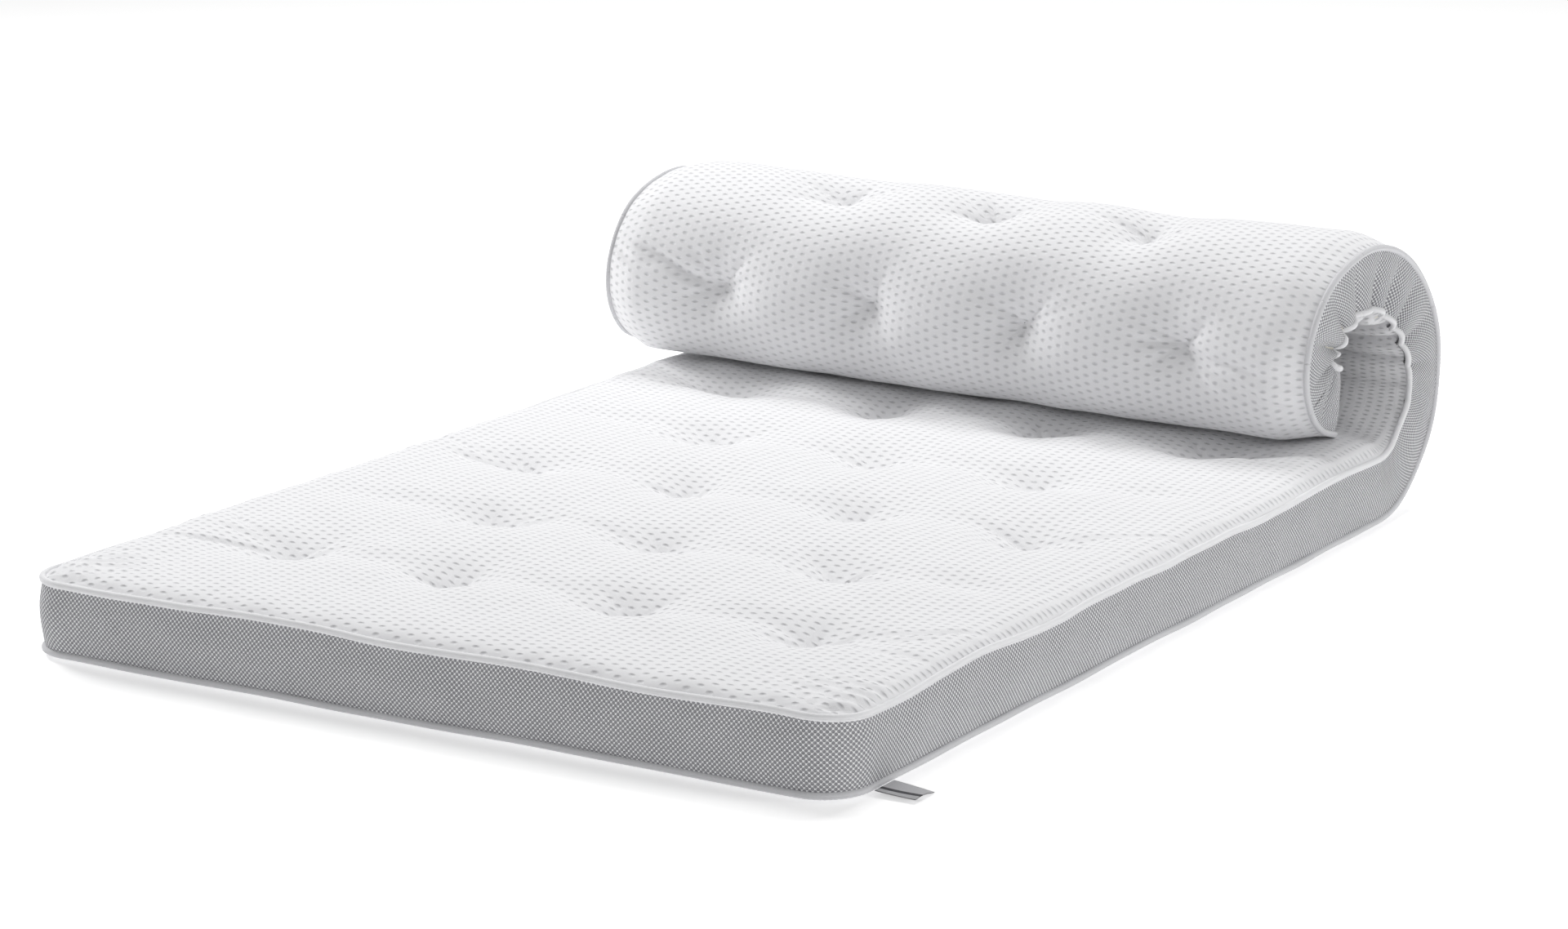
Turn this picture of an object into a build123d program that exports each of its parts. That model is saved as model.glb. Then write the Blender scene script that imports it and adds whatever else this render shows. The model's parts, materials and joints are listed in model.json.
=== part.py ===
from build123d import *
import os
from math import cos, radians, sin, tan

os.makedirs("parts", exist_ok=True)

# A tufted memory foam mattress with its far end rolled back over itself, a little askew.
# Every piece is first made as it lies on an unrolled mattress, then cut at the hinge lines and
# rolled up. X runs across the bed, Y along it and Z up. The origin is on the underside, midway
# across, and FRONT from the front edge.

# Unrolled mattress
WIDTH = 900.0
LENGTH = 2000.0
FRONT = 550.0
CORNER_RADIUS = 45.0
EDGE_RISE = 6.0          # underside up to the centre of the lower piping
BORDER_HEIGHT = 70.0     # lower piping to upper piping, between their centres
CROWN = 4.0              # centre of the upper piping up to the top face
COVER_THICKNESS = 4.0    # knit cover panel, quilted to a thin backing
BORDER_THICKNESS = 5.0   # spacer mesh round the sides
PIPING_RADIUS = 3.5
SEAM_GAP = 0.3           # play between neighbouring pieces

# Tufts: staggered rows of ties, each with a knot sunk in both faces
TUFT_ROWS = 9
TUFT_COLUMNS = 4
TUFT_FRONT = 210.0       # front edge to the first row
TUFT_PITCH_Y = 204.0
TUFT_PITCH_X = 197.0
TIE_RADIUS = 1.2
KNOT_RADIUS = 3.0
KNOT_DEPTH = 14.0        # face down to the middle of a knot

# Roll: a spiral that climbs over the flat part and ends with a short tail
SEGMENTS = 9
ROLL_TURN = 345.0        # degrees from the flat part to the last segment
ROLL_SKEW = 3.0          # degrees by which the hinge lines are off square
ROLL_HOLLOW = 8.0        # radius left inside the roll at its end
ROLL_CLIMB = 1.17        # loss of radius along the roll, in thicknesses
ROLL_OVAL = 0.12         # share by which the roll is longer than round
TAIL = 62.0              # last hinge line to the end of the mattress, midway across
SLIT = 0.4               # gap left between two segments
CUT_MARGIN = 1.0         # reach of a cut past both faces

# Woven label in the lower seam of the right side
LABEL_Y = 62.0           # front edge to the middle of the label
LABEL_WIDTH = 34.0
LABEL_LENGTH = 40.0
LABEL_THICKNESS = 0.8
LABEL_DROOP = 6.0        # degrees below level

TURN = ROLL_TURN / SEGMENTS
THICKNESS = EDGE_RISE + BORDER_HEIGHT + CROWN
LOWER_SEAM = EDGE_RISE
UPPER_SEAM = EDGE_RISE + BORDER_HEIGHT
BACK = LENGTH - FRONT
LEAN = tan(radians(TURN / 2))
ASKEW = Rotation(0, 0, -ROLL_SKEW)


def plan(inset, z):
    """Rounded outline of the mattress, drawn in by inset, as a face at height z."""
    centre = Location((0, LENGTH / 2 - FRONT, z))
    outline = RectangleRounded(WIDTH - 2 * inset, LENGTH - 2 * inset, CORNER_RADIUS - inset)
    return centre * outline


def slab(inset_low, z_low, inset_high, z_high):
    """Solid between two heights, whose edge slopes from one inset to the other."""
    return loft([plan(inset_low, z_low).face(), plan(inset_high, z_high).face()])


def foam_core(holes):
    """One block of memory foam, inside the border and between the cover panels."""
    inset = BORDER_THICKNESS + SEAM_GAP
    z_low = COVER_THICKNESS + SEAM_GAP
    z_high = THICKNESS - COVER_THICKNESS - SEAM_GAP
    return extrude(plan(inset, z_low), z_high - z_low) - holes


def bottom_panel(holes):
    """Lower cover panel, turned up at its edge towards the lower piping."""
    return slab(3 * COVER_THICKNESS, 0, COVER_THICKNESS, COVER_THICKNESS) - holes


def top_panel(holes):
    """Upper cover panel, turned down at its edge towards the upper piping."""
    z_low = THICKNESS - COVER_THICKNESS
    inset = PIPING_RADIUS + SEAM_GAP
    return slab(inset, z_low, inset + 2 * COVER_THICKNESS, THICKNESS) - holes


def side_border():
    """Band of spacer mesh that stands between the two pipings, all the way round."""
    z_low = LOWER_SEAM + PIPING_RADIUS + SEAM_GAP
    z_high = UPPER_SEAM - PIPING_RADIUS - SEAM_GAP
    band = plan(0, z_low) - plan(BORDER_THICKNESS, z_low)
    return extrude(band, z_high - z_low)


def piping_cord(z):
    """Corded seam that follows the outline at height z."""
    path = plan(SEAM_GAP, z).face().outer_wire()
    section = Plane(origin=path @ 0, z_dir=path % 0) * Circle(PIPING_RADIUS)
    return sweep(section, path)


def tuft_points(lines):
    """Place of each tie as (body, x, y): rows of TUFT_COLUMNS and one fewer take turns.

    Past the first hinge line a row keeps to the middle of the nearest segment.
    """
    middles = [(lines[k - 1] + lines[k]) / 2 for k in range(1, SEGMENTS)]
    points = []
    for row in range(TUFT_ROWS):
        count = TUFT_COLUMNS - row % 2
        y = TUFT_FRONT + row * TUFT_PITCH_Y - FRONT
        across = [(column - (count - 1) / 2) * TUFT_PITCH_X for column in range(count)]
        if y < lines[0] - THICKNESS:
            points += [(0, x, y) for x in across]
        else:
            middle = min(middles, key=lambda m: abs(m - y))
            body = middles.index(middle) + 1
            points += [(body, x, askew_y(x, middle)) for x in across]
    return points


def askew_y(x, line):
    """Y, at x, of a line that crosses the mattress askew and the middle at line."""
    return line - x * tan(radians(ROLL_SKEW))


def tuft_holes(points):
    """Stepped holes: narrow for the thread, wider from each face down to the knot."""
    hole = Cylinder(TIE_RADIUS + SEAM_GAP, 3 * THICKNESS)
    depth = KNOT_DEPTH + KNOT_RADIUS + SEAM_GAP
    bore = Cylinder(KNOT_RADIUS + SEAM_GAP, depth, align=(Align.CENTER, Align.CENTER, Align.MIN))
    hole += bore + Location((0, 0, THICKNESS - depth)) * bore
    return [Location((x, y, 0)) * hole for _, x, y in points]


def tuft_tie(x, y):
    """One tie: a tight thread between two knots, sunk below both faces."""
    low, high = KNOT_DEPTH, THICKNESS - KNOT_DEPTH
    thread = Location((x, y, (low + high) / 2)) * Cylinder(TIE_RADIUS, high - low)
    knots = [Location((x, y, z)) * Sphere(KNOT_RADIUS) for z in (low, high)]
    return thread + knots


def mean_radius(angle):
    """Radius of the roll where its cover has turned by angle degrees."""
    left = 1 - angle / ROLL_TURN
    spiral = THICKNESS * (1 + ROLL_CLIMB * left) + ROLL_HOLLOW
    return spiral * (1 + ROLL_OVAL * cos(radians(2 * angle)))


def hinge_lines():
    """Y, midway across, of each hinge line on the unrolled underside."""
    lines = [BACK - TAIL]
    for k in range(SEGMENTS - 1, 0, -1):
        lines.insert(0, lines[0] - 2 * mean_radius(k * TURN) * LEAN)
    return lines


def square(line):
    """Distance from the origin to a hinge line, square to it."""
    return line * cos(radians(ROLL_SKEW))


def hinge_points(lines):
    """Rolled place of each hinge line as (distance from the origin square to it, height)."""
    points = [(square(lines[0]), 0.0)]
    for k in range(1, SEGMENTS):
        span = square(lines[k] - lines[k - 1])
        y, z = points[-1]
        points.append((y + span * cos(radians(k * TURN)), z + span * sin(radians(k * TURN))))
    return points


def cutter(k, lines):
    """Prism round body k of the unrolled mattress: 0 is the flat part, the rest are segments.

    Its sides lean in towards the top face, so that neighbours meet when the mattress is rolled.
    """
    low, high = -CUT_MARGIN, THICKNESS + CUT_MARGIN
    front = square(lines[k - 1]) + SLIT / 2 if k else -FRONT - WIDTH
    back = square(lines[k]) - SLIT / 2 if k < SEGMENTS else BACK + WIDTH
    lean_front = LEAN if k else 0
    lean_back = LEAN if k < SEGMENTS else 0
    corners = [
        (front + lean_front * low, low),
        (back - lean_back * low, low),
        (back - lean_back * high, high),
        (front + lean_front * high, high),
    ]
    side = Plane.YZ * make_face(Polyline(*corners, close=True))
    return ASKEW * extrude(side, 2 * WIDTH, both=True)


def roll_up(shape, k, lines, points):
    """Carries body k from the unrolled mattress to its place in the roll."""
    if k == 0:
        return shape
    y, z = points[k - 1]
    turned = Rotation(k * TURN, 0, 0) * Location((0, -square(lines[k - 1]), 0))
    return ASKEW * Location((0, y, z)) * turned * ASKEW.inverse() * shape


def label():
    """Folded label at the lower seam, which droops from the right side."""
    seam = Location((WIDTH / 2 + PIPING_RADIUS, LABEL_Y - FRONT, LOWER_SEAM))
    align = (Align.MIN, Align.CENTER, Align.CENTER)
    flap = Box(LABEL_LENGTH, LABEL_WIDTH, LABEL_THICKNESS, align=align)
    return seam * Rotation(0, LABEL_DROOP, 0) * Location((SEAM_GAP, 0, 0)) * flap


def write(name, shape):
    export_step(Compound(shape.solids()), f"parts/{name}.step")


lines = hinge_lines()
points = hinge_points(lines)
tufts = tuft_points(lines)
holes = tuft_holes(tufts)
layers = {
    "foam_core": foam_core(holes),
    "top_panel": top_panel(holes),
    "bottom_panel": bottom_panel(holes),
    "side_border": side_border(),
    "piping": Compound([piping_cord(LOWER_SEAM), piping_cord(UPPER_SEAM)]),
}
names = ["flat"] + [f"roll_{k}" for k in range(1, SEGMENTS + 1)]
for k, name in enumerate(names):
    prism = cutter(k, lines)
    for layer, whole in layers.items():
        write(f"{layer}_{name}", roll_up(whole & prism, k, lines, points))
    ties = [tuft_tie(x, y) for body, x, y in tufts if body == k]
    if ties:
        write(f"tufts_{name}", roll_up(Compound(ties), k, lines, points))
write("label", label())

print("hinge lines, midway across:", [round(line, 3) for line in lines])
print("hinge points, square to them and up:", [(round(y, 3), round(z, 3)) for y, z in points])
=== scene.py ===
"""A tufted memory foam mattress, its far end rolled back over itself and a little askew."""
import json
import math

import bpy
import numpy as np
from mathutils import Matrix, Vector


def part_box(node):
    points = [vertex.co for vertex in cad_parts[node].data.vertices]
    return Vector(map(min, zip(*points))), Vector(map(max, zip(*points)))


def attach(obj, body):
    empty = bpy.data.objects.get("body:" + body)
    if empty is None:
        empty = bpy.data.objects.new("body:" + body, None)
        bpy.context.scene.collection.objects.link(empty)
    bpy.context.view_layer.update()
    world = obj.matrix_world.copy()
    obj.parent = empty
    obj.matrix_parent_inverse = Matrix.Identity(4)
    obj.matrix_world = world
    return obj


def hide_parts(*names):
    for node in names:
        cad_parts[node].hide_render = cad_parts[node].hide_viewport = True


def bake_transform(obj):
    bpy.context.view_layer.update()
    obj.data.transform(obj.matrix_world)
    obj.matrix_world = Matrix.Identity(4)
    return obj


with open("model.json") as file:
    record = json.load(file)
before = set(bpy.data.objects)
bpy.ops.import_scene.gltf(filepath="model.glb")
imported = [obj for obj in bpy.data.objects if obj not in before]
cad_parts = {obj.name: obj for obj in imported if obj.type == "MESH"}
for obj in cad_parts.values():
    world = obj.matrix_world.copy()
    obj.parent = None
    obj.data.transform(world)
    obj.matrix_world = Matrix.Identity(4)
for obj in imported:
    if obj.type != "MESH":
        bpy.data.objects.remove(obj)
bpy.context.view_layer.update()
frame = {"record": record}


# ---- Foam core ----------------------------------------------------------------------------
# One block of memory foam fills the mattress. It is made here in nine lengths, each of which
# bends at one hinge line of the roll, and it dips wherever a tuft pulls the covers in.

WIDTH, LENGTH, FRONT = 0.9, 2.0, 0.55        # the front edge is FRONT before the origin
BACK = LENGTH - FRONT
CORNER = 0.045
LOWER_SEAM, UPPER_SEAM = 0.006, 0.076        # middles of the two pipings
CROWN_FLAT, CROWN_ROLLED = 0.0885, 0.081     # top face, midway between tufts
EDGE_SWELL = 0.010                           # how fast the top swells up from its seam
TUFT_FRONT, TUFT_PITCH_Y, TUFT_PITCH_X = 0.210, 0.204, 0.197
TUFT_REACH = 0.22                            # a tie draws in no cover farther off than this
THROAT_SHARE, THROAT = 0.42, 0.014           # a dip has a narrow throat ...
BOWL_SHARE, BOWL, BOWL_ROUND = 0.58, 0.048, 1.6         # ... in a wider bowl
OUTER_TUFT = 0.26                            # farther out than this, creases run to the edge
ROW_DIP, ROW_WIDE = 0.20, 0.026              # shallow furrow along each row of tufts
CREASE_TOP, CREASE_LOW = 0.0052, 0.0060      # depth of the creases round a tuft
PUCKER_TOP, PUCKER_LOW = 0.0028, 0.0014      # depth of the gathers along the seams
CORNER_GATHER = 0.0050                       # depth of the gathers at the front corners
GATHERED_AT = ((0.42, -0.52), (-0.42, -0.52))
ROLL_FOOT, ROLL_FADE = 0.59, 0.10            # where the flat part ends, and over what length
HEAPED = 0.0045                              # rise of the foam in front of the roll
PLUMP, PLUMP_FOOT = 0.008, 0.006             # swell of the roll, and what its foot adds
FOLD_SWELL, FOLD_DEPTH = 0.011, 0.024        # folds of the inner cover of the roll
SEAM_DRAWN_IN = 0.013                        # inward sway of the squeezed upper seam
KNOT_LOW, KNOT_HIGH = 0.0265, 0.0580         # where the ties hold the two covers

joints = {j["name"]: j for j in frame["record"]["behaviour"]["joints"]}
hinges = [joints[f"unroll_{k}"] for k in range(1, 10)]
TURN = math.radians(hinges[0]["range_deg"][1])
SKEW = math.atan2(hinges[0]["axis"][1], -hinges[0]["axis"][0])
ROLLING = np.array([math.sin(SKEW), math.cos(SKEW), 0.0])     # square to the hinge lines
ALONG = np.array([math.cos(SKEW), -math.sin(SKEW), 0.0])      # along the hinge lines
hinge_at = np.array([(np.dot(h["pos_m"], ROLLING), h["pos_m"][2]) for h in hinges])
gaps = np.hypot(*np.diff(hinge_at, axis=0).T)                  # hinge to hinge
hinge_s = hinge_at[0, 0] + np.concatenate([[0], np.cumsum(gaps)])
heading = np.array([(math.cos(k * TURN), math.sin(k * TURN)) for k in range(10)])
half = np.concatenate([[gaps[0] / 2], gaps / 2, [gaps[-1] / 2]])   # half a body's length
middle_s = np.concatenate([hinge_s - half[:9], [hinge_s[8] + half[9]]])
middle_at = np.vstack([hinge_at - half[:9, None] * heading[:9], hinge_at[8] + half[9] * heading[9]])


def roll_line(s):
    """Where the underside lies, square to the hinges: distance, height and slope angle."""
    at = np.stack([s, 0 * s], -1)
    slope = np.zeros(s.shape)
    for k in range(9):
        here = (s > middle_s[k]) & (s <= middle_s[k + 1])
        a, b = hinge_s[k] - middle_s[k], middle_s[k + 1] - hinge_s[k]
        run = s[here] - middle_s[k]
        t = run / (a + b)
        if abs(b - a) > 1e-9:
            t = (-a + np.sqrt(a * a + (b - a) * run)) / (b - a)
        t = t[:, None]
        p, q, r = middle_at[k], hinge_at[k], middle_at[k + 1]
        at[here] = (1 - t) ** 2 * p + 2 * t * (1 - t) * q + t * t * r
        pull = (1 - t) * (q - p) + t * (r - q)
        mean = (k + 0.5) * TURN
        turned = np.arctan2(pull[:, 1], pull[:, 0]) - mean
        slope[here] = mean + (turned + math.pi) % (2 * math.pi) - math.pi
    past = s > middle_s[9]
    at[past] = middle_at[9] + (s[past] - middle_s[9])[:, None] * heading[9]
    slope[past] = 9 * TURN
    return at[..., 0], at[..., 1], slope


def square_to_hinges(x, y):
    return x * math.sin(SKEW) + y * math.cos(SKEW)


def place(x, y, up):
    """Carries points of the unrolled mattress to where the cloth lies, rolled up."""
    s = square_to_hinges(x, y)
    across = x * math.cos(SKEW) - y * math.sin(SKEW)
    reach, rise, slope = roll_line(s)
    reach = reach - up * np.sin(slope)
    rise = rise + up * np.cos(slope)
    level = across[..., None] * ALONG + reach[..., None] * ROLLING
    return level + rise[..., None] * np.array([0, 0, 1.0])


def ease(t):
    t = np.clip(t, 0, 1)
    return t * t * (3 - 2 * t)


def waves(x, y, size, seed):
    """Soft unevenness of about +-1, with bumps of roughly the given size."""
    draw = np.random.default_rng(seed)
    total = 0 * x
    for _ in range(9):
        angle, phase = draw.uniform(0, 2 * math.pi, 2)
        rate = 2 * math.pi / (size * draw.uniform(1.2, 3.0))
        total = total + np.sin(rate * (x * math.cos(angle) + y * math.sin(angle)) + phase)
    return total / 3


def edge_gap(x, y):
    """Distance in from the rounded outline of the mattress."""
    qx = np.abs(x) - (WIDTH / 2 - CORNER)
    qy = np.abs(y - (LENGTH / 2 - FRONT)) - (LENGTH / 2 - CORNER)
    outside = np.hypot(np.maximum(qx, 0), np.maximum(qy, 0))
    return CORNER - outside - np.minimum(np.maximum(qx, qy), 0)


tufts = []                                    # (x, y, body)
for row in range(9):
    count = 4 - row % 2
    for column in range(count):
        x = (column - (count - 1) / 2) * TUFT_PITCH_X
        if row < 5:
            tufts.append((x, TUFT_FRONT + row * TUFT_PITCH_Y - FRONT, "flat"))
        else:
            segment = 2 * (row - 5) + 1
            y = middle_s[segment] / math.cos(SKEW) - x * math.tan(SKEW)
            tufts.append((x, y, f"roll_{segment}"))


def tuft_pull(x, y, seed):
    """How far the tufts draw a cover in, from 0 to 1 at a tie, and the creases round them."""
    dip, crease = 0 * x, 0 * x
    draw = np.random.default_rng(seed)
    for tx, ty, _ in tufts:
        dx, dy = x - tx, y - ty
        r = np.hypot(dx, dy)
        near = r < TUFT_REACH
        turn = np.arctan2(dy[near], dx[near])
        rr = r[near] * (1 + 0.12 * np.cos(2 * turn + draw.uniform(0, 6)))
        throat, bowl = np.exp(-rr / THROAT), np.exp(-(rr / BOWL) ** BOWL_ROUND)
        dip[near] += THROAT_SHARE * throat + BOWL_SHARE * bowl
        fan = 0 * rr
        for fold in range(12):
            toward = draw.uniform(-math.pi, math.pi)
            width = draw.uniform(0.09, 0.20)
            reach = draw.uniform(0.020, 0.050) * (0.6 + 0.9 * math.cos(toward) ** 2)
            off = (turn - toward + math.pi) % (2 * math.pi) - math.pi
            fan += np.exp(-(off / width) ** 2) * np.exp(-(rr / reach) ** 2)
        crease[near] += fan * ease(rr / 0.012)
        if abs(tx) > OUTER_TUFT:                       # drawn lines from an outer tuft to the edge
            run = np.sign(tx) * dx[near]
            for line in range(4):
                spread, at = draw.uniform(-0.5, 0.5), draw.uniform(0.35, 0.95)
                bow = dy[near] - spread * run - 0.004 * np.sin(run * draw.uniform(40, 70))
                window = ease(run / 0.03) * ease((0.15 * at + 0.03 - run) / 0.03)
                crease[near] += 0.55 * np.exp(-(bow / draw.uniform(0.004, 0.007)) ** 2) * window
    for row in range(5):
        bow = y - (TUFT_FRONT + row * TUFT_PITCH_Y - FRONT) + 0.006 * np.sin(x * 17 + row)
        inside = ease((0.42 - np.abs(x)) / 0.1)
        dip += ROW_DIP * np.exp(-(bow / ROW_WIDE) ** 2) * inside * np.exp(-3 * dip)
    return np.minimum(dip, 1.0), crease


def flat_share(s):
    """1 on the part that lies flat, 0 in the roll."""
    return 1 - ease((s - ROLL_FOOT) / ROLL_FADE)


def rolled_share(s):
    return ease((s - 0.62) / 0.12)


def folds(s, length, sharpness=0.55):
    """0 on the swell of each fold and 1 in the narrow valley between two."""
    return 1 - np.abs(np.sin(math.pi * s / length)) ** sharpness


def upper_face(x, y):
    """Height of the mattress's top face above its underside, unrolled."""
    s, gap = square_to_hinges(x, y), edge_gap(x, y)
    full = CROWN_ROLLED + (CROWN_FLAT - CROWN_ROLLED) * flat_share(s)
    dip, crease = tuft_pull(x, y, 11)
    rise = 1 - np.exp(-np.maximum(gap - 0.002, 0) / EDGE_SWELL)
    height = UPPER_SEAM - 0.0005 + (full - UPPER_SEAM) * rise
    height -= (full - KNOT_HIGH) * dip * ease(gap / 0.05)
    height -= CREASE_TOP * crease * (1 - 0.8 * dip)
    side = np.where(np.abs(x) > WIDTH / 2 - 0.1, y, x)
    pucker = folds(side + 0.006 * waves(x, y, 0.05, 5), 0.034, 0.8)
    uneven = 0.6 + 0.4 * waves(x, y, 0.12, 6)
    height -= PUCKER_TOP * pucker * np.exp(-gap / 0.022) * ease(gap / 0.008) * uneven
    for cx, cy in GATHERED_AT:
        far = np.hypot(x - cx, y - cy)
        lines = folds(y - 0.25 * np.abs(x - cx) + 0.004 * waves(x, y, 0.04, 9), 0.019, 0.9)
        height -= CORNER_GATHER * lines * np.exp(-(far / 0.070) ** 2) * ease(gap / 0.010)
    height += 0.0009 * waves(x, y, 0.045, 7) * rise
    height += HEAPED * ease((s - 0.34) / 0.12) * flat_share(s) * rise * (1 - dip)
    wavy = s + 0.012 * waves(x, y, 0.12, 8)
    squeezed = rolled_share(s) * ease((s - 0.7) / 0.4) * ease(gap / 0.02)
    swell = FOLD_SWELL * ease((s - 0.8) / 0.3) * (1 - ease((s - 1.32) / 0.08))
    height += squeezed * (swell - FOLD_DEPTH * folds(wavy, 0.058, 0.8))
    return height


def lower_face(x, y):
    """Height of the mattress's underside, which is 0 where it lies on the floor."""
    gap = edge_gap(x, y)
    dip, crease = tuft_pull(x, y, 23)
    height = LOWER_SEAM * np.exp(-np.maximum(gap - 0.002, 0) / 0.011)
    height += KNOT_LOW * dip * ease(gap / 0.05) + CREASE_LOW * crease * (1 - 0.8 * dip)
    s = square_to_hinges(x, y)
    plump = PLUMP * ease((s - 0.75) / 0.2) + PLUMP_FOOT * ease((s - 1.22) / 0.12)
    height -= plump * (1 - ease((s - 1.375) / 0.065)) * ease(gap / 0.05) * (1 - dip)
    side = np.where(np.abs(x) > WIDTH / 2 - 0.1, y, x)
    pucker = folds(side + 0.006 * waves(x, y, 0.05, 25), 0.040, 0.8)
    height += PUCKER_LOW * pucker * np.exp(-gap / 0.025) * ease(gap / 0.008)
    return height + 0.0004 * (1 + waves(x, y, 0.05, 27)) * ease(gap / 0.03)


def seam_sway(x, y):
    """How far the compressed upper seam is drawn in sideways where the roll is tight."""
    s = square_to_hinges(x, y)
    tight = ease((s - 0.72) / 0.45)
    return -SEAM_DRAWN_IN * tight * folds(s + 0.010 * waves(x, y, 0.2, 31), 0.060, 0.7)


def panel_grid(inset, step_across, step_along):
    """Rows and columns of points that fill the rounded outline, drawn in by inset.

    Rows turn gradually from square at the two ends to parallel with the hinge lines. The
    returned marks are the rows where one bending length ends and the next begins.
    """
    r = CORNER - inset
    front, back = -FRONT + inset, BACK - inset
    splits = middle_s[1:9] / math.cos(SKEW)
    bow = r * (1 - np.cos(np.linspace(0, math.pi / 2, 11)))
    stops = [front + r, *splits, back - r]
    rows, marks = list(front + bow[:-1]), [0]
    for a, b in zip(stops[:-1], stops[1:]):
        if a in splits:
            marks.append(len(rows))
        count = max(2, math.ceil((b - a) / step_along))
        rows += list(np.linspace(a, b, count, endpoint=False))
    rows += list(back - bow[::-1])
    marks.append(len(rows) - 1)
    t = np.array(rows)[:, None]
    slant = ease((t - front) / 0.6) * (1 - ease((t - splits[-1]) / (back - splits[-1])))
    across = np.linspace(-1, 1, round(WIDTH / step_across) + 1)[None, :]
    x = across * (WIDTH / 2 - inset) + 0 * t
    for _ in range(4):
        y = t - x * math.tan(SKEW) * slant
        d = np.clip(np.minimum(y - front, back - y), 0, r)
        x = across * (WIDTH / 2 - inset - r + np.sqrt(r * r - (r - d) ** 2))
    y = t - x * math.tan(SKEW) * slant
    return x, y, marks


def sheet_normals(points):
    n = np.cross(np.gradient(points, axis=1), np.gradient(points, axis=0))
    return n / np.maximum(np.linalg.norm(n, axis=-1, keepdims=True), 1e-12)


def make_piece(name, verts, faces, uv, normals=None):
    """Mesh object from arrays. uv holds each vertex's place on the unrolled cloth, in metres."""
    mesh = bpy.data.meshes.new(name)
    mesh.from_pydata(verts.tolist(), [], faces.tolist())
    layer = mesh.uv_layers.new(name="cloth")
    corner = np.zeros(len(mesh.loops), np.int32)
    mesh.loops.foreach_get("vertex_index", corner)
    layer.uv.foreach_set("vector", uv[corner].astype(np.float32).ravel())
    mesh.polygons.foreach_set("use_smooth", np.ones(len(mesh.polygons), bool))
    if normals is not None:
        mesh.normals_split_custom_set_from_vertices(normals.tolist())
    piece = bpy.data.objects.new(name, mesh)
    bpy.context.scene.collection.objects.link(piece)
    return piece


def slab_between(name, over, under, uv, over_normals):
    """Closed solid between two grids of points of the same size."""
    rows, columns = over.shape[:2]
    index = np.arange(rows * columns).reshape(rows, columns)
    low = index + rows * columns
    a, b, c, d = index[:-1, :-1], index[:-1, 1:], index[1:, 1:], index[1:, :-1]
    faces = [np.stack([a, b, c, d], -1).reshape(-1, 4)]
    faces.append(np.stack([a, d, c, b], -1).reshape(-1, 4) + rows * columns)
    rim = np.concatenate([index[0], index[1:, -1], index[-1, -2::-1], index[-2:0:-1, 0]])
    after = np.roll(rim, -1)
    faces.append(np.stack([rim, rim + rows * columns, after + rows * columns, after], -1))
    verts = np.concatenate([over.reshape(-1, 3), under.reshape(-1, 3)])
    normals = np.concatenate([over_normals.reshape(-1, 3), -over_normals.reshape(-1, 3)])
    return make_piece(name, verts, np.concatenate(faces), np.concatenate([uv, uv]), normals)


BEND_CLEAR = 0.083      # height over which a bend has to clear the lean of its neighbours


def bend_at_hinge(piece, k):
    """The k-th length spans hinge k; this only bakes its transform into its mesh."""
    mean = (k - 0.5) * TURN
    way = ROLLING * math.cos(mean) + np.array([0, 0, math.sin(mean)])
    lean = BEND_CLEAR * math.sin(TURN / 2)
    reach = [h * math.cos(TURN / 2) - lean for h in (half[k - 1], half[k])]
    at = np.array(hinges[k - 1]["pos_m"])
    start, end = at - way * max(reach[0], 0.004), at + way * max(reach[1], 0.004)
    before = "flat" if k == 1 else f"roll_{k - 1}"
    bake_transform(piece)


def stands_for(layer, k):
    names = [f"{layer}_roll_{k}"] + ([f"{layer}_flat"] if k == 1 else [])
    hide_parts(*names)


class Strand:
    """A socket in a material. Arithmetic on it adds Math nodes; add() makes any other node."""

    def __init__(self, tree, socket=None):
        self.tree, self.socket = tree, socket

    def add(self, kind, settings=None, sockets=None, output=0):
        node = self.tree.nodes.new("ShaderNode" + kind)
        for key, value in (settings or {}).items():
            if key == "stops":
                ramp = node.color_ramp.elements
                while len(ramp) < len(value):
                    ramp.new(0.5)
                for stop, (where, colour) in zip(ramp, value):
                    stop.position, stop.color = where, (*colour, 1)
            else:
                setattr(node, key, value)
        for key, value in (sockets or {}).items():
            if isinstance(value, Strand):
                self.tree.links.new(value.socket, node.inputs[key])
            else:
                node.inputs[key].default_value = value
        return Strand(self.tree, node.outputs[output])

    def maths(self, operation, a, b=0.0):
        return self.add("Math", {"operation": operation}, {0: a, 1: b})

    def __add__(self, other): return self.maths("ADD", self, other)
    def __radd__(self, other): return self.maths("ADD", other, self)
    def __sub__(self, other): return self.maths("SUBTRACT", self, other)
    def __rsub__(self, other): return self.maths("SUBTRACT", other, self)
    def __mul__(self, other): return self.maths("MULTIPLY", self, other)
    def __rmul__(self, other): return self.maths("MULTIPLY", other, self)
    def __truediv__(self, other): return self.maths("DIVIDE", self, other)
    def __pow__(self, other): return self.maths("POWER", self, other)
    def __mod__(self, other): return self.maths("FLOORED_MODULO", self, other)
    def floor(self): return self.maths("FLOOR", self)
    def sine(self): return self.maths("SINE", self)
    def at_least(self, other): return self.maths("MAXIMUM", self, other)
    def at_most(self, other): return self.maths("MINIMUM", self, other)

    def blend(self, low, high):
        """Mixes two colours by this value."""
        colours = {}
        for key, colour in ((6, low), (7, high)):
            colours[key] = colour if isinstance(colour, Strand) else (*colour, 1)
        return self.add("Mix", {"data_type": "RGBA"}, {0: self, **colours}, output=2)


def start_material(name, **uniform):
    """A material with one Principled shader, whose uniform numbers are set on its sockets."""
    material = bpy.data.materials.new(name)
    material.use_nodes = True
    shader = material.node_tree.nodes["Principled BSDF"]
    for key, value in uniform.items():
        shader.inputs[key.replace("_", " ")].default_value = value
    return material, Strand(material.node_tree), shader


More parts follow.
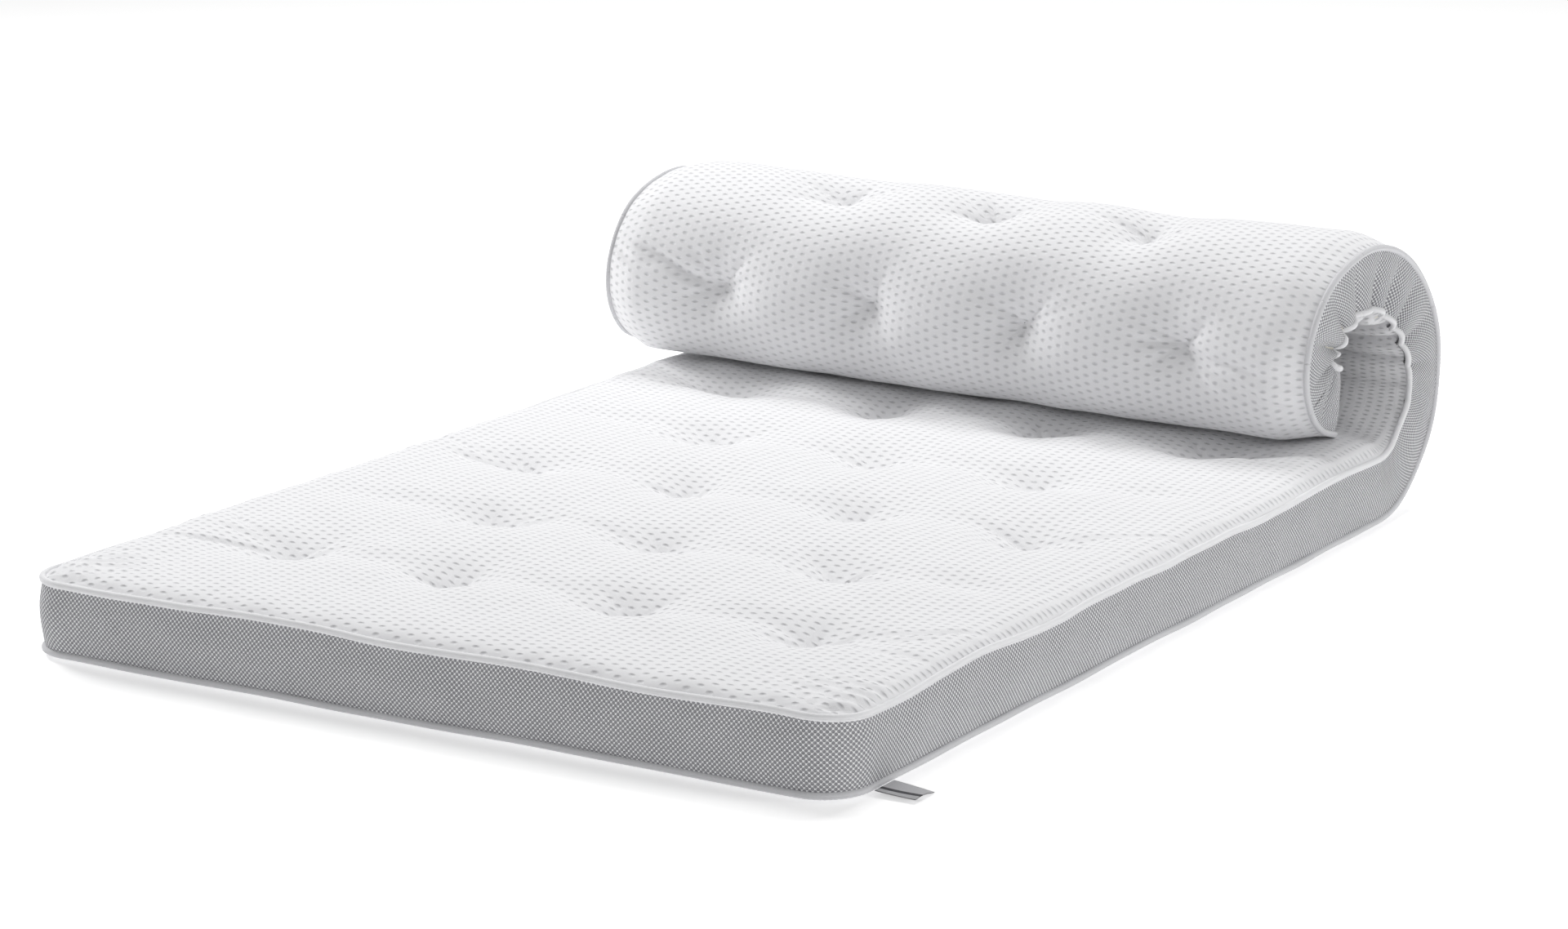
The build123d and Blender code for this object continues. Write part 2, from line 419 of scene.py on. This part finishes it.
def finish_material(strand, shader, colour, roughness, height, depth):
    """Feeds the varying colour, roughness and relief (depth in metres) to the shader."""
    bump = strand.add("Bump", {}, {"Strength": 1.0, "Distance": depth, "Height": height})
    for key, value in (("Base Color", colour), ("Roughness", roughness), ("Normal", bump)):
        strand.tree.links.new(value.socket, shader.inputs[key])


# The darker foam colour serves both a random cloudy tone and painted shade in the pores.
FOAM_SHADE, FOAM_CREAM = (0.86, 0.82, 0.70), (0.95, 0.92, 0.84)


def foam_material():
    material, strand, shader = start_material("memory_foam")
    place_3d = strand.add("TexCoord", output=3)
    pores = strand.add("TexVoronoi", {}, {"Vector": place_3d, "Scale": 700.0})
    cloud = strand.add("TexNoise", {}, {"Vector": place_3d, "Scale": 9.0, "Detail": 3.0})
    # Darker in the pores, as painted shade in their pits, with a random cloudy tone over it.
    colour = (cloud * 0.6 + pores * 0.4).blend(FOAM_SHADE, FOAM_CREAM)
    finish_material(strand, shader, colour, 0.85 + cloud * 0.1, pores, 0.0005)
    return material


foam = foam_material()
CORE_INSET, CORE_UNDER_COVER = 0.0075, 0.0048
x, y, marks = panel_grid(CORE_INSET, 0.009, 0.009)
core_top = place(x, y, upper_face(x, y) - CORE_UNDER_COVER)
core_low = place(x, y, lower_face(x, y) + CORE_UNDER_COVER)
core_normals = sheet_normals(core_top)
for k, (a, b) in enumerate(zip(marks[:-1], marks[1:]), 1):
    cut = slice(a, b + 1)
    uv = np.stack([x[cut], y[cut]], -1).reshape(-1, 2)
    core = slab_between(f"foam_core_{k}", core_top[cut], core_low[cut], uv, core_normals[cut])
    core.data.materials.append(foam)
    stands_for("foam_core", k)
    bend_at_hinge(core, k)


# ---- Top and bottom covers ------------------------------------------------------------------
# Two panels of thick stretch knit, quilted soft. The knit has staggered columns of small
# dimples; the tufts draw both panels in, and their edges are gathered into the piped seams.

COVER_THICKNESS, COVER_INSET = 0.003, 0.0025
KNIT_ACROSS, KNIT_ALONG = 0.0118, 0.0098       # pitch of the dimples
DIMPLE_WIDE, DIMPLE_LONG = 0.0034, 0.0017
# The darker knit colour is painted shade in the dimples; the knit itself is all white.
KNIT_WHITE, KNIT_DIMPLE_SHADE = (0.875, 0.875, 0.89), (0.62, 0.62, 0.64)


def knit_material():
    material, strand, shader = start_material(
        "knit_cover", Sheen_Weight=0.25, Sheen_Roughness=0.5, Specular_IOR_Level=0.25)
    cloth = strand.add("UVMap", {"uv_map": "cloth"})
    parts = strand.add("SeparateXYZ", {}, {"Vector": cloth})
    x, y = parts, Strand(strand.tree, parts.socket.node.outputs[1])
    column = x / KNIT_ACROSS
    stagger = (column.floor() % 2.0) * 0.5
    across = ((column % 1.0) - 0.5) * (KNIT_ACROSS / DIMPLE_WIDE)
    along = (((y / KNIT_ALONG + stagger) % 1.0) - 0.5) * (KNIT_ALONG / DIMPLE_LONG)
    dimple = (1.0 - (across * across + along * along) * 0.5).at_least(0.0)
    dimple = dimple * dimple
    loops = (x * (2 * math.pi / 0.0019)).sine() * (y * (2 * math.pi / 0.0014)).sine()
    fuzz = strand.add("TexNoise", {}, {"Vector": cloth, "Scale": 420.0, "Detail": 3.0})
    cloud = strand.add("TexNoise", {}, {"Vector": cloth, "Scale": 7.0, "Detail": 2.0})
    # The dimples are painted darker, as painted shade in their pits; the loops and the fuzz add a
    # faint knit texture and random tone.
    shade = (dimple * 0.8 + loops * 0.03 + (fuzz - 0.5) * 0.2).at_least(0.0).at_most(1.0)
    colour = shade.blend(KNIT_WHITE, KNIT_DIMPLE_SHADE)
    relief = 1.0 - dimple + loops * 0.05 + fuzz * 0.15
    finish_material(strand, shader, colour, 0.78 + cloud * 0.12, relief, 0.0011)
    return material


knit = knit_material()
x, y, marks = panel_grid(COVER_INSET, 0.004, 0.0042)
gap = edge_gap(x, y) - COVER_INSET
sideways = np.sign(x) * seam_sway(x, y) * np.exp(-gap / 0.025)
faces = {
    "top_panel": place(x + sideways, y, upper_face(x, y)),
    "bottom_panel": place(x, y, lower_face(x, y)),
}
backs = {
    "top_panel": place(x + sideways, y, upper_face(x, y) - COVER_THICKNESS),
    "bottom_panel": place(x, y, lower_face(x, y) + COVER_THICKNESS),
}
for layer, face in faces.items():
    turn_over = -1 if layer == "bottom_panel" else 1
    normals = sheet_normals(face) * turn_over
    for k, (a, b) in enumerate(zip(marks[:-1], marks[1:]), 1):
        cut = slice(a, b + 1)
        uv = np.stack([x[cut], y[cut]], -1).reshape(-1, 2)
        grids = [face[cut], backs[layer][cut], normals[cut]]
        if turn_over < 0:
            grids = [g[:, ::-1] for g in grids]
            uv = np.stack([x[cut][:, ::-1], y[cut][:, ::-1]], -1).reshape(-1, 2)
        panel = slab_between(f"{layer}_{k}", grids[0], grids[1], uv, grids[2])
        panel.data.materials.append(knit)
        stands_for(layer, k)
        bend_at_hinge(panel, k)


# ---- Side border ----------------------------------------------------------------------------
# A band of open spacer mesh stands between the two seams all the way round and lets the foam
# breathe. It bulges a little, and buckles into pleats where the roll squeezes its upper edge.

BORDER_THICKNESS, BORDER_BULGE, BORDER_ROWS = 0.004, 0.0042, 19
PLEAT_DEPTH = 0.024
MESH_PITCH, HOLE_RADIUS = 0.0049, 0.00125
# The hole colour is painted shade inside the openings of the mesh.
MESH_YARN, MESH_HOLE_SHADE = (0.90, 0.90, 0.92), (0.24, 0.24, 0.26)


def edge_walk(inset, step):
    """Points round the outline, clockwise from above, from the last hinge line's right end.

    Returns x, y, the outward direction, the distance walked and, for each of the nine bending
    lengths, the ranges of points that belong to it.
    """
    half_width, r = WIDTH / 2 - inset, CORNER - inset
    front, back = -FRONT + inset, BACK - inset
    right = (middle_s[1:9] - WIDTH / 2 * math.sin(SKEW)) / math.cos(SKEW)
    left = (middle_s[1:9] + WIDTH / 2 * math.sin(SKEW)) / math.cos(SKEW)
    quarter = r * math.pi / 2
    legs = [(right[-1] - front - r, 0), (quarter, r), (2 * (half_width - r), 0), (quarter, r),
            (back - front - 2 * r, 0), (quarter, r), (2 * (half_width - r), 0), (quarter, r),
            (back - r - right[-1], 0)]
    to_left = sum(length for length, _ in legs[:4])
    stops = list((right[-1] - right)[::-1]) + list(to_left + left - front - r)
    stops.append(sum(length for length, _ in legs))
    owners = [8, 7, 6, 5, 4, 3, 2, 1, 2, 3, 4, 5, 6, 7, 8, 9]
    walked, ranges = [], {k: [] for k in range(1, 10)}
    for owner, a, b in zip(owners, stops[:-1], stops[1:]):
        count = max(3, math.ceil((b - a) / step))
        ranges[owner].append((len(walked), len(walked) + count + 1))
        walked += list(np.linspace(a, b, count, endpoint=False))
    t = np.array(walked + [stops[-1]])
    x, y, nx, ny = (np.zeros(len(t)) for _ in range(4))
    at, course, done = np.array([half_width, right[-1]]), -math.pi / 2, 0.0
    for length, bend in legs:
        here = (t >= done - 1e-9) & (t <= done + length + 1e-9)
        d = t[here] - done
        if bend:
            c = course - d / bend
            x[here] = at[0] + bend * (math.sin(course) - np.sin(c))
            y[here] = at[1] + bend * (np.cos(c) - math.cos(course))
            end = course - math.pi / 2
            at = at + bend * np.array([math.sin(course) - math.sin(end),
                                       math.cos(end) - math.cos(course)])
            course = end
        else:
            c = course + 0 * d
            x[here], y[here] = at[0] + d * math.cos(course), at[1] + d * math.sin(course)
            at = at + length * np.array([math.cos(course), math.sin(course)])
        nx[here], ny[here] = -np.sin(c), np.cos(c)
        done += length
    return x, y, nx, ny, t, ranges


def seam_lift(t, seam):
    """How far a seam rises or sinks along its way round."""
    if seam == "upper":
        return 0.0024 * waves(t, 0 * t, 0.14, 53) - 0.0010
    return 0.0006 * (1 + waves(t, 0 * t, 0.10, 54))


def border_out(x, y, t, share):
    """How far the mesh stands out from the outline at a share of its height."""
    s = square_to_hinges(x, y)
    out = -0.0008 + BORDER_BULGE * np.sin(math.pi * share) ** 0.8
    out = out + 0.0009 * waves(t, 1.5 * share * 0.07, 0.05, 41) * np.sin(math.pi * share)
    tight = ease((s - 0.68) / 0.40)
    pleat = folds(s + 0.010 * waves(x, y, 0.2, 31) + 0.010 * share * (share - 1), 0.060, 0.7)
    return out - PLEAT_DEPTH * tight * pleat * share ** 1.2 * (1 - 0.45 * share)


def mesh_material():
    material, strand, shader = start_material(
        "spacer_mesh", Sheen_Weight=0.1, Specular_IOR_Level=0.3)
    cloth = strand.add("UVMap", {"uv_map": "cloth"})
    parts = strand.add("SeparateXYZ", {}, {"Vector": cloth})
    x, y = parts / MESH_PITCH, Strand(strand.tree, parts.socket.node.outputs[1]) / MESH_PITCH
    hole = None
    for shift in (0.0, 0.5):
        a, b = ((x + shift) % 1.0) - 0.5, ((y + shift) % 1.0) - 0.5
        one = (1.0 - (a * a + b * b) * (0.55 * (MESH_PITCH / HOLE_RADIUS) ** 2)).at_least(0.0)
        hole = one if hole is None else hole.at_least(one)
    hole = (hole * 1.8).at_most(1.0)
    yarn = strand.add("TexNoise", {}, {"Vector": cloth, "Scale": 900.0, "Detail": 2.0})
    cloud = strand.add("TexNoise", {}, {"Vector": cloth, "Scale": 14.0, "Detail": 2.0})
    # The holes are painted dark, as painted shade inside them on a solid sheet; the yarn and cloud
    # noise add random tone.
    shade = (hole * 0.92 + (yarn - 0.5) * 0.25 + (cloud - 0.5) * 0.08).at_least(0.0).at_most(1.0)
    colour = shade.blend(MESH_YARN, MESH_HOLE_SHADE)
    relief = 1.0 - hole + yarn * 0.2
    finish_material(strand, shader, colour, 0.7 + cloud * 0.15, relief, 0.0012)
    return material


def side_name(parts, side):
    """A length that is in two parts, one on each side of the mattress, says which it is."""
    return "" if len(parts) == 1 else ("_right", "_left")[side]


spacer_mesh = mesh_material()
x, y, nx, ny, t, ranges = edge_walk(0.0, 0.004)
share = np.linspace(0, 1, BORDER_ROWS)[:, None]
out = border_out(x[None], y[None], t[None], share)
low_at, high_at = LOWER_SEAM + seam_lift(t, "lower"), UPPER_SEAM + seam_lift(t, "upper")
up = low_at[None] + share * (high_at - low_at)[None]
border_face = place(x + nx * out, y + ny * out, up)
border_back = place(x + nx * (out - BORDER_THICKNESS), y + ny * (out - BORDER_THICKNESS), up)
border_normals = -sheet_normals(border_face)
border_uv = np.stack([t[None] + 0 * share, up], -1)
for k in range(1, 10):
    for side, (a, b) in enumerate(ranges[k]):
        grids = [g[:, a:b][:, ::-1] for g in (border_face, border_back, border_normals, border_uv)]
        band = slab_between(f"side_border_{k}{side_name(ranges[k], side)}", grids[0], grids[1],
                            grids[3].reshape(-1, 2), grids[2])
        band.data.materials.append(spacer_mesh)
        stands_for("side_border", k)
        bend_at_hinge(band, k)


# ---- Piping ---------------------------------------------------------------------------------
# A twisted three-strand cord is sewn into the lower and the upper seam, all the way round.
# The lower one is painted greyer than the upper one, as painted shade low down; both are the same
# white cord.

PIPING_RADIUS, PIPING_LAY, PIPING_STEP, PIPING_SIDES = 0.0036, 0.0135, 0.0017, 14


def piping_material(name, dark, light):
    material, strand, shader = start_material(
        name, Sheen_Weight=0.2, Specular_IOR_Level=0.35)
    cloth = strand.add("UVMap", {"uv_map": "cloth"})
    fibre = strand.add("TexNoise", {}, {"Vector": cloth, "Scale": 1500.0, "Detail": 2.0})
    cloud = strand.add("TexNoise", {}, {"Vector": cloth, "Scale": 60.0, "Detail": 2.0})
    colour = (fibre * 0.7 + cloud * 0.3).blend(dark, light)
    finish_material(strand, shader, colour, 0.6 + cloud * 0.2, fibre, 0.0003)
    return material


cords = {
    # The lower cord's greyer colours are painted shade.
    "lower": piping_material("lower_piping_painted_shade", (0.60, 0.60, 0.62), (0.76, 0.76, 0.78)),
    "upper": piping_material("upper_piping", (0.78, 0.78, 0.80), (0.92, 0.92, 0.93)),
}
x, y, nx, ny, t, ranges = edge_walk(0.0003, PIPING_STEP)
around = np.linspace(0, 2 * math.pi, PIPING_SIDES, endpoint=False)
strands = 0.84 + 0.16 * np.abs(np.cos(1.5 * (around[None] - 2 * math.pi * t[:, None] / PIPING_LAY)))
for seam, level in (("lower", LOWER_SEAM), ("upper", UPPER_SEAM)):
    sway = seam_sway(x, y) if seam == "upper" else 0 * x
    sway = sway + 0.0006 * waves(t, 0 * t, 0.06, 51 if seam == "upper" else 52)
    up = level + seam_lift(t, seam)
    radius = PIPING_RADIUS * strands
    off, rise = radius * np.cos(around), radius * np.sin(around)
    px = x[:, None] + nx[:, None] * (sway[:, None] + off)
    py = y[:, None] + ny[:, None] * (sway[:, None] + off)
    rings = place(px, py, up[:, None] + rise)
    for k in range(1, 10):
        for side, (a, b) in enumerate(ranges[k]):
            count = b - a
            index = np.arange(count * PIPING_SIDES).reshape(count, PIPING_SIDES)
            right_of = np.roll(index, -1, axis=1)
            quads = np.stack([index[:-1], right_of[:-1], right_of[1:], index[1:]], -1)
            ends = [index[0][::-1].tolist(), index[-1].tolist()]
            run = t[a:b, None]
            uv = np.stack([run + 0 * around, around[None] * PIPING_RADIUS + 0 * run], -1)
            mesh_faces = quads.reshape(-1, 4).tolist() + ends
            cord = make_piece(f"piping_{seam}_{k}{side_name(ranges[k], side)}",
                              rings[a:b].reshape(-1, 3),
                              np.array(mesh_faces, dtype=object), uv.reshape(-1, 2))
            cord.data.materials.append(cords[seam])
            stands_for("piping", k)
            bend_at_hinge(cord, k)


# ---- Tuft ties ------------------------------------------------------------------------------
# Waxed thread goes right through the mattress and is knotted at the bottom of the dip that it
# draws into each cover.

THREAD_DARK, THREAD_GREY = (0.10, 0.10, 0.11), (0.30, 0.30, 0.31)


def thread_material():
    material, strand, shader = start_material("tuft_thread", Specular_IOR_Level=0.4)
    place_3d = strand.add("TexCoord", output=3)
    twist = strand.add("TexNoise", {}, {"Vector": place_3d, "Scale": 1800.0, "Detail": 2.0})
    colour = twist.blend(THREAD_DARK, THREAD_GREY)
    finish_material(strand, shader, colour, 0.45 + twist * 0.2, twist, 0.0003)
    return material


THREAD_RADIUS, LOOP_RADIUS, THREAD_SIDES = 0.0008, 0.0020, 6


def tie_path(tx, ty):
    """One thread: a knot of three loops, the tight run through the foam, another knot."""
    turn = np.linspace(0, 6 * math.pi, 46)
    loops = LOOP_RADIUS * (1 - 0.18 * np.cos(turn * 0.7))
    knot = [loops * np.cos(turn), 0.8 * loops * np.sin(turn), 0.0006 * np.sin(1.7 * turn)]
    knot = np.stack(knot, -1)
    run = np.linspace(KNOT_LOW + 0.001, KNOT_HIGH - 0.001, 24)
    twist = 0.0004 * np.stack([np.cos(run * 2500), np.sin(run * 2500)], -1)
    low, high = knot + [0, 0, KNOT_LOW], knot[::-1] * [1, -1, 1] + [0, 0, KNOT_HIGH]
    path = np.concatenate([low, np.column_stack([twist, run]), high])
    return place(tx + path[:, 0], ty + path[:, 1], path[:, 2])


def thread_tube(path):
    """Points and faces of a thin tube along a path, closed at both ends."""
    way = np.gradient(path, axis=0)
    way /= np.linalg.norm(way, axis=1, keepdims=True)
    side = np.cross(way, [0.31, 0.17, 0.93])
    side /= np.linalg.norm(side, axis=1, keepdims=True)
    other = np.cross(way, side)
    turn = np.linspace(0, 2 * math.pi, THREAD_SIDES, endpoint=False)
    turned = side[:, None] * np.cos(turn)[:, None] + other[:, None] * np.sin(turn)[:, None]
    points = (path[:, None] + THREAD_RADIUS * turned).reshape(-1, 3)
    index = np.arange(len(path) * THREAD_SIDES).reshape(len(path), THREAD_SIDES)
    after = np.roll(index, -1, axis=1)
    quads = np.stack([index[:-1], after[:-1], after[1:], index[1:]], -1).reshape(-1, 4)
    return points, quads.tolist() + [index[0][::-1].tolist(), index[-1].tolist()]


tuft_thread = thread_material()
for body in sorted({b for _, _, b in tufts}):
    verts, tie_faces = [], []
    for tx, ty, b in tufts:
        if b == body:
            points, quads = thread_tube(tie_path(tx, ty))
            shift = len(verts) * len(points)
            verts.append(points)
            tie_faces += [[v + shift for v in face] for face in quads]
    verts = np.concatenate(verts)
    ties = make_piece(f"ties_{body}", verts, np.array(tie_faces, dtype=object), verts[:, :2])
    ties.data.materials.append(tuft_thread)
    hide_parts(f"tufts_{body}")
    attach(ties, body)


# ---- Label ----------------------------------------------------------------------------------
# A folded satin label with a plain woven bar is sewn into the lower seam of the right side,
# near the front corner. It droops a little and its free end curls.

label_low, label_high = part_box("label")
LABEL_THICKNESS, LABEL_CURL = 0.0008, 0.0022
SATIN, WOVEN_BAR = (0.86, 0.86, 0.88), (0.06, 0.06, 0.07)


def label_material():
    material, strand, shader = start_material("label_satin", Specular_IOR_Level=0.5)
    cloth = strand.add("UVMap", {"uv_map": "cloth"})
    parts = strand.add("SeparateXYZ", {}, {"Vector": cloth})
    x, y = parts, Strand(strand.tree, parts.socket.node.outputs[1])
    weave = (x * (2 * math.pi / 0.0006)).sine() * (y * (2 * math.pi / 0.0006)).sine()
    bar = (1.0 - ((x - 0.010) / 0.0030) ** 2.0).at_least(0.0) * 4.0      # a plain woven bar
    shade = (weave * 0.1 + 0.1 + bar).at_least(0.0).at_most(1.0)
    colour = shade.blend(SATIN, WOVEN_BAR)
    finish_material(strand, shader, colour, 0.35 + weave * 0.05, weave, 0.0002)
    return material


wide = np.linspace(label_low[1] + 0.0005, label_high[1] - 0.0005, 23)[None]
reach = np.linspace(0, 1, 29)[:, None]
lx = label_low[0] + reach * (label_high[0] - label_low[0]) + 0 * wide
ly = wide + 0 * reach
curl = LABEL_CURL * reach ** 2 * np.sin(math.pi * (wide - wide.min()) / 0.033 + 0.6)
droop = (label_high[2] - label_low[2] - 0.0020) * reach
lz = label_high[2] - 0.0012 - droop + curl
over = np.stack([lx, ly, lz], -1)
normals = sheet_normals(over)
normals = normals * np.sign(normals[..., 2:])
under = over - normals * LABEL_THICKNESS
uv = np.stack([ly - label_low[1], lx - label_low[0]], -1)[::-1].reshape(-1, 2)
label = slab_between("label", over[::-1], under[::-1], uv, normals[::-1])
label.data.materials.append(label_material())
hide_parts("label")
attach(label, "label")


# ---- Floor, light and camera ------------------------------------------------------------------
# A plain white studio floor that runs on as far as the eye sees, a large soft light high up
# behind, two weaker ones from the left and the right, and the camera off the front right corner.

FLOOR_GLOW, AIR_GLOW = 0.40, 0.38            # the floor and the air lift the shadows
CAMERA_AT = (2.176, -3.501, 1.123)
CAMERA_DOWN, CAMERA_TURNED = 13.55, 31.17    # degrees


def floor_material():
    material, strand, shader = start_material("studio_floor", Specular_IOR_Level=0.0, Roughness=1.0)
    shader.inputs["Base Color"].default_value = (0.85, 0.85, 0.85, 1)
    shader.inputs["Emission Color"].default_value = (1, 1, 1, 1)
    shader.inputs["Emission Strength"].default_value = FLOOR_GLOW
    return material


bpy.ops.mesh.primitive_plane_add(size=60, location=(0, 0, -0.0005))
floor = bpy.context.active_object
floor.name = "studio_floor"
floor.data.materials.append(floor_material())

world = bpy.data.worlds.new("studio")
bpy.context.scene.world = world
world.use_nodes = True
world.node_tree.nodes["Background"].inputs["Color"].default_value = (1, 1, 1, 1)
world.node_tree.nodes["Background"].inputs["Strength"].default_value = AIR_GLOW


def soft_light(name, where, toward, size, power):
    data = bpy.data.lights.new(name, "AREA")
    data.shape, data.size, data.energy = "DISK", size, power
    light = bpy.data.objects.new(name, data)
    light.location = where
    light.rotation_euler = (Vector(toward) - Vector(where)).to_track_quat("-Z", "Y").to_euler()
    bpy.context.scene.collection.objects.link(light)


soft_light("back_light", (0.1, 2.7, 4.4), (0.0, 0.3, 0.1), 1.6, 98)
soft_light("left_light", (-3.2, 0.4, 2.6), (0.0, 0.2, 0.1), 1.2, 84)
soft_light("side_light", (4.2, 0.6, 1.8), (0.2, 0.1, 0.1), 1.8, 40)

lens = bpy.data.cameras.new("camera")
lens.sensor_width, lens.lens = 36.0, 97.69
camera = bpy.data.objects.new("camera", lens)
camera.location = CAMERA_AT
camera.rotation_euler = (math.radians(90 - CAMERA_DOWN), 0, math.radians(CAMERA_TURNED))
lens.clip_end = 200
bpy.context.scene.collection.objects.link(camera)
bpy.context.scene.camera = camera
bpy.context.scene.view_settings.view_transform = "Standard"
